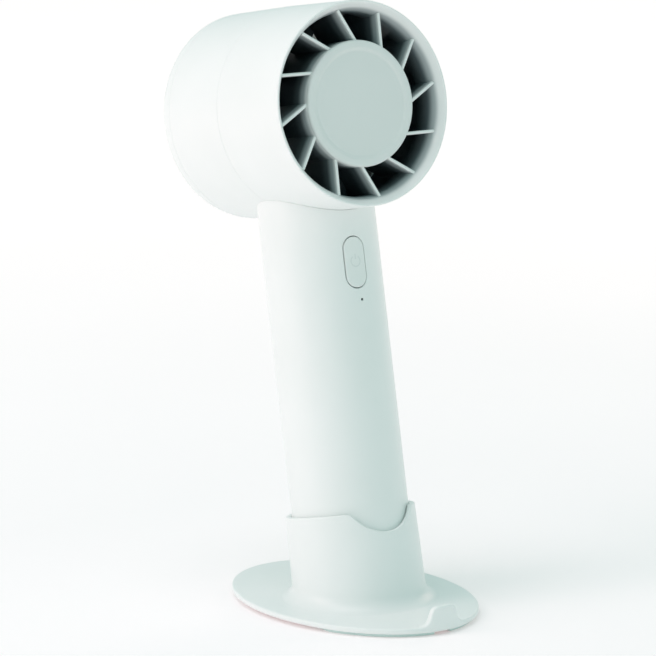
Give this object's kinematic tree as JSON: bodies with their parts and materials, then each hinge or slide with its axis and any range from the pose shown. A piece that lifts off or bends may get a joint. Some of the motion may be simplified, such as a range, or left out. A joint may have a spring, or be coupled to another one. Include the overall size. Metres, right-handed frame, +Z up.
{
  "type": "handheld electric fan",
  "caption": "Cylindrical turbo fan head with straight guide vanes on a round handle, held leaning in the round socket of an oval desk stand.",
  "frame": {"origin": "on the ground, under the middle of the object's box", "axes": "+Z up, the fan blows towards -Y, X across"},
  "size_m": [0.0694, 0.1143, 0.1982],
  "materials": {
    "white_abs": "satin-gloss injection-moulded white ABS",
    "hub_abs": "fine matt spark-eroded texture, pale grey-white ABS",
    "vane_abs": "moulded pale ABS, darker inside the duct",
    "button_abs": "satin moulded ABS",
    "foot_rubber": "pale soft rubber, matt",
    "light_acrylic": "dark clear acrylic",
    "impeller_nylon": "dark glass-filled nylon",
    "plated_steel": "nickel-plated pressed steel",
    "hard_steel": "ground bearing steel",
    "magnet": "bonded ferrite",
    "cast_aluminium": "die-cast, as cast",
    "core_steel": "epoxy-coated laminated steel",
    "copper": "enamelled copper wire",
    "zinc_steel": "zinc-plated screws",
    "grey_abs": "plain moulded ABS",
    "cell_sleeve": "heat-shrunk PVC sleeve",
    "foam": "closed-cell foam pad",
    "nickel": "spot-welded nickel strip",
    "silicone_wire": "silicone-insulated wire",
    "fibreglass": "green solder mask on fibreglass",
    "chip_epoxy": "moulded epoxy packages",
    "switch_plastic": "moulded nylon",
    "plug_nylon": "natural nylon connector"
  },
  "bodies": {
    "stand": {"stand_base": "white_abs", "foot_front_left": "foot_rubber", "foot_front_right": "foot_rubber", "foot_rear_left": "foot_rubber", "foot_rear_right": "foot_rubber"},
    "fan": {"battery_cell": "cell_sleeve", "battery_cradle": "grey_abs", "battery_leads": "silicone_wire", "battery_pad": "foam", "battery_tabs": "nickel", "bottom_cap": "white_abs", "charge_board": "fibreglass", "charge_leads": "silicone_wire", "charge_led": "light_acrylic", "charge_port": "plated_steel", "front_bearing": "hard_steel", "front_shell": "white_abs", "handle_tube": "white_abs", "hub_cap": "hub_abs", "intake_grille": "white_abs", "light_pipe": "light_acrylic", "main_pcb": "fibreglass", "motor_base": "cast_aluminium", "motor_lead": "silicone_wire", "motor_plug": "plug_nylon", "motor_screws": "zinc_steel", "motor_windings": "copper", "neck_bracket": "grey_abs", "neck_screws": "zinc_steel", "pcb_components": "chip_epoxy", "pcb_screws": "zinc_steel", "rear_bearing": "hard_steel", "rear_shell": "white_abs", "stator_core": "core_steel", "stator_vanes": "vane_abs", "tact_switch": "switch_plastic"},
    "rotor": {"impeller": "impeller_nylon", "rotor_can": "plated_steel", "magnet_ring": "magnet", "shaft": "hard_steel", "retaining_clip": "hard_steel"},
    "button": {"power_button": "button_abs", "switch_plunger": "switch_plastic"}
  },
  "joints": [
    {"name": "fan_lift", "type": "slide", "parent": "stand", "child": "fan", "axis": [0, 0.1767, 0.9843], "range_m": [0, 0.06]},
    {"name": "rotor_spin", "type": "hinge", "parent": "fan", "child": "rotor", "pos_m": [0, 0.02392, 0.15984], "axis": [0, 0.9895, -0.1449], "continuous": true},
    {"name": "button_press", "type": "slide", "parent": "fan", "child": "button", "axis": [0, 0.9843, -0.1767], "range_m": [0, 0.0004], "stiffness_N_per_m": 4000, "springref_m": -0.0003}
  ]
}
